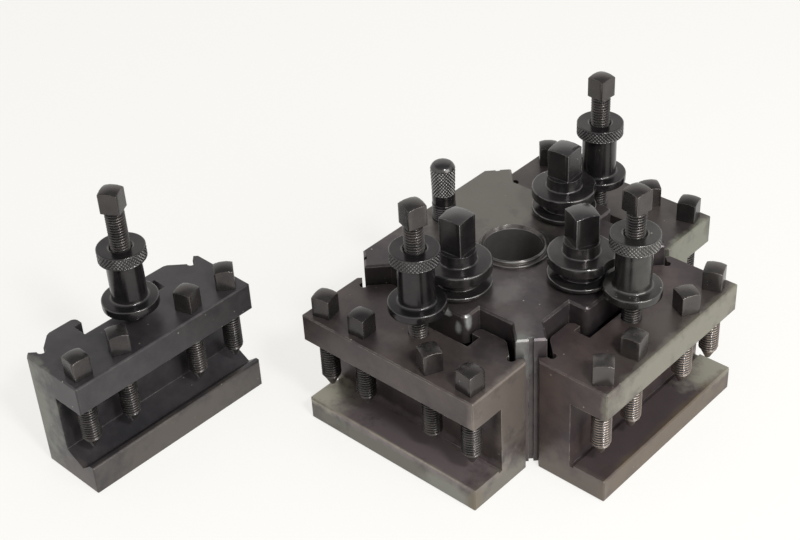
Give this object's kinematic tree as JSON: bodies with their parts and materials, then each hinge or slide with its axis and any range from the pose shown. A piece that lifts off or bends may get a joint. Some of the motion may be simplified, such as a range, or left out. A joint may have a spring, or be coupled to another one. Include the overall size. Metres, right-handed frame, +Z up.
{
  "type": "lathe tool post",
  "caption": "Quick-change lathe tool post with hung tool holders, cam studs and height nuts, and a spare holder for round bars.",
  "frame": {"origin": "on the centre stud bore's axis, at the post's bottom face, on the surface the part stands on", "axes": "+Z up along the centre bore; the front holder's outer face looks along -Y, the right one's along +X"},
  "size_m": [0.2413, 0.3052, 0.144],
  "materials": {
    "post_steel": "ground and chemically blackened, satin, lightly worn",
    "holder_steel": "ground and chemically blackened, satin, mottled wear",
    "turned_steel": "turned and chemically blackened, semi-gloss, oiled",
    "screw_steel": "hardened and blackened, semi-gloss",
    "bush_steel": "turned and blackened, bright at its chamfer",
    "spring_steel": "drawn wire, oiled"
  },
  "bodies": {
    "post": {"post_body": "post_steel", "centre_bush": "bush_steel", "plunger_guide": "bush_steel", "plunger_spring": "spring_steel"},
    "index_plunger": {"index_plunger": "turned_steel"},
    "front_cam": {"front_cam_stud": "turned_steel"},
    "front_draw_bolt": {"front_draw_rod": "turned_steel", "front_clamp_bar": "holder_steel"},
    "front_holder": {"front_holder": "holder_steel", "front_height_screw": "screw_steel"},
    "front_height_nut": {"front_height_nut": "turned_steel"},
    "right_cam": {"right_cam_stud": "turned_steel"},
    "right_draw_bolt": {"right_draw_rod": "turned_steel", "right_clamp_bar": "holder_steel"},
    "right_holder": {"right_holder": "holder_steel", "right_height_screw": "screw_steel"},
    "right_height_nut": {"right_height_nut": "turned_steel"},
    "rear_cam": {"rear_cam_stud": "turned_steel"},
    "rear_draw_bolt": {"rear_draw_rod": "turned_steel", "rear_clamp_bar": "holder_steel"},
    "rear_holder": {"rear_holder": "holder_steel", "rear_height_screw": "screw_steel"},
    "rear_height_nut": {"rear_height_nut": "turned_steel"},
    "spare_holder": {"spare_holder": "holder_steel", "spare_height_screw": "screw_steel"},
    "spare_height_nut": {"spare_height_nut": "turned_steel"},
    "front_clamp_screw_1": {"front_clamp_screw_1": "screw_steel"},
    "front_clamp_screw_2": {"front_clamp_screw_2": "screw_steel"},
    "front_clamp_screw_3": {"front_clamp_screw_3": "screw_steel"},
    "front_clamp_screw_4": {"front_clamp_screw_4": "screw_steel"},
    "right_clamp_screw_1": {"right_clamp_screw_1": "screw_steel"},
    "right_clamp_screw_2": {"right_clamp_screw_2": "screw_steel"},
    "right_clamp_screw_3": {"right_clamp_screw_3": "screw_steel"},
    "right_clamp_screw_4": {"right_clamp_screw_4": "screw_steel"},
    "rear_clamp_screw_1": {"rear_clamp_screw_1": "screw_steel"},
    "rear_clamp_screw_2": {"rear_clamp_screw_2": "screw_steel"},
    "rear_clamp_screw_3": {"rear_clamp_screw_3": "screw_steel"},
    "rear_clamp_screw_4": {"rear_clamp_screw_4": "screw_steel"},
    "spare_clamp_screw_1": {"spare_clamp_screw_1": "screw_steel"},
    "spare_clamp_screw_2": {"spare_clamp_screw_2": "screw_steel"},
    "spare_clamp_screw_3": {"spare_clamp_screw_3": "screw_steel"},
    "spare_clamp_screw_4": {"spare_clamp_screw_4": "screw_steel"}
  },
  "joints": [
    {"name": "plunger_lift", "type": "slide", "parent": "post", "child": "index_plunger", "axis": [0, 0, 1], "range_m": [0, 0.008], "stiffness_N_per_m": 500, "springref_m": -0.006, "deforming": ["plunger_spring"]},
    {"name": "front_cam_turn", "type": "hinge", "parent": "post", "child": "front_cam", "pos_m": [0, -0.0425, 0.08], "axis": [0, 0, -1], "range_deg": [-60, 60]},
    {"name": "front_draw", "type": "slide", "parent": "post", "child": "front_draw_bolt", "axis": [0, 1, 0], "range_m": [-0.0019, 0.0019]},
    {"name": "front_nut_turn", "type": "hinge", "parent": "front_draw_bolt", "child": "front_height_nut", "pos_m": [0, -0.073, 0.1], "axis": [0, 0, -1], "range_deg": [0, 3600]},
    {"name": "front_lift", "type": "slide", "parent": "front_draw_bolt", "child": "front_holder", "axis": [0, 0, 1], "range_m": [0, 0.015]},
    {"name": "right_cam_turn", "type": "hinge", "parent": "post", "child": "right_cam", "pos_m": [0.0425, 0, 0.08], "axis": [0, 0, -1], "range_deg": [0, 60]},
    {"name": "right_draw", "type": "slide", "parent": "post", "child": "right_draw_bolt", "axis": [-1, 0, 0], "range_m": [0, 0.0019]},
    {"name": "right_nut_turn", "type": "hinge", "parent": "right_draw_bolt", "child": "right_height_nut", "pos_m": [0.073, 0, 0.1], "axis": [0, 0, -1], "range_deg": [0, 3600]},
    {"name": "right_lift", "type": "slide", "parent": "right_draw_bolt", "child": "right_holder", "axis": [0, 0, 1], "range_m": [0, 0.015]},
    {"name": "rear_cam_turn", "type": "hinge", "parent": "post", "child": "rear_cam", "pos_m": [0, 0.0425, 0.08], "axis": [0, 0, -1], "range_deg": [-60, 60]},
    {"name": "rear_draw", "type": "slide", "parent": "post", "child": "rear_draw_bolt", "axis": [0, -1, 0], "range_m": [-0.0019, 0.0019]},
    {"name": "rear_nut_turn", "type": "hinge", "parent": "rear_draw_bolt", "child": "rear_height_nut", "pos_m": [0, 0.073, 0.1], "axis": [0, 0, -1], "range_deg": [0, 3600]},
    {"name": "rear_lift", "type": "slide", "parent": "rear_draw_bolt", "child": "rear_holder", "axis": [0, 0, 1], "range_m": [0, 0.015]},
    {"name": "spare_pick_up", "type": "slide", "parent": "post", "child": "spare_holder", "axis": [0, 0, 1], "range_m": [0, 0.12]},
    {"name": "spare_nut_travel", "type": "slide", "parent": "spare_holder", "child": "spare_height_nut", "axis": [0, 0, 1], "range_m": [-0.0065, 0.017]},
    {"name": "front_clamp_1", "type": "slide", "parent": "front_holder", "child": "front_clamp_screw_1", "axis": [0, 0, 1], "range_m": [0, 0.028]},
    {"name": "front_clamp_2", "type": "slide", "parent": "front_holder", "child": "front_clamp_screw_2", "axis": [0, 0, 1], "range_m": [0, 0.028]},
    {"name": "front_clamp_3", "type": "slide", "parent": "front_holder", "child": "front_clamp_screw_3", "axis": [0, 0, 1], "range_m": [0, 0.028]},
    {"name": "front_clamp_4", "type": "slide", "parent": "front_holder", "child": "front_clamp_screw_4", "axis": [0, 0, 1], "range_m": [0, 0.028]},
    {"name": "right_clamp_1", "type": "slide", "parent": "right_holder", "child": "right_clamp_screw_1", "axis": [0, 0, 1], "range_m": [0, 0.028]},
    {"name": "right_clamp_2", "type": "slide", "parent": "right_holder", "child": "right_clamp_screw_2", "axis": [0, 0, 1], "range_m": [0, 0.028]},
    {"name": "right_clamp_3", "type": "slide", "parent": "right_holder", "child": "right_clamp_screw_3", "axis": [0, 0, 1], "range_m": [0, 0.028]},
    {"name": "right_clamp_4", "type": "slide", "parent": "right_holder", "child": "right_clamp_screw_4", "axis": [0, 0, 1], "range_m": [0, 0.028]},
    {"name": "rear_clamp_1", "type": "slide", "parent": "rear_holder", "child": "rear_clamp_screw_1", "axis": [0, 0, 1], "range_m": [0, 0.028]},
    {"name": "rear_clamp_2", "type": "slide", "parent": "rear_holder", "child": "rear_clamp_screw_2", "axis": [0, 0, 1], "range_m": [0, 0.028]},
    {"name": "rear_clamp_3", "type": "slide", "parent": "rear_holder", "child": "rear_clamp_screw_3", "axis": [0, 0, 1], "range_m": [0, 0.028]},
    {"name": "rear_clamp_4", "type": "slide", "parent": "rear_holder", "child": "rear_clamp_screw_4", "axis": [0, 0, 1], "range_m": [0, 0.028]},
    {"name": "spare_clamp_1", "type": "slide", "parent": "spare_holder", "child": "spare_clamp_screw_1", "axis": [0, 0, 1], "range_m": [0, 0.028]},
    {"name": "spare_clamp_2", "type": "slide", "parent": "spare_holder", "child": "spare_clamp_screw_2", "axis": [0, 0, 1], "range_m": [0, 0.028]},
    {"name": "spare_clamp_3", "type": "slide", "parent": "spare_holder", "child": "spare_clamp_screw_3", "axis": [0, 0, 1], "range_m": [0, 0.028]},
    {"name": "spare_clamp_4", "type": "slide", "parent": "spare_holder", "child": "spare_clamp_screw_4", "axis": [0, 0, 1], "range_m": [0, 0.028]}
  ],
  "couplings": [
    {"joint": "front_cam_turn", "follows": "front_draw", "rad_per_m": 551.15},
    {"joint": "front_nut_turn", "follows": "front_lift", "rad_per_m": 4188.8},
    {"joint": "right_cam_turn", "follows": "right_draw", "rad_per_m": 551.15},
    {"joint": "right_nut_turn", "follows": "right_lift", "rad_per_m": 4188.8},
    {"joint": "rear_cam_turn", "follows": "rear_draw", "rad_per_m": 551.15},
    {"joint": "rear_nut_turn", "follows": "rear_lift", "rad_per_m": 4188.8}
  ]
}
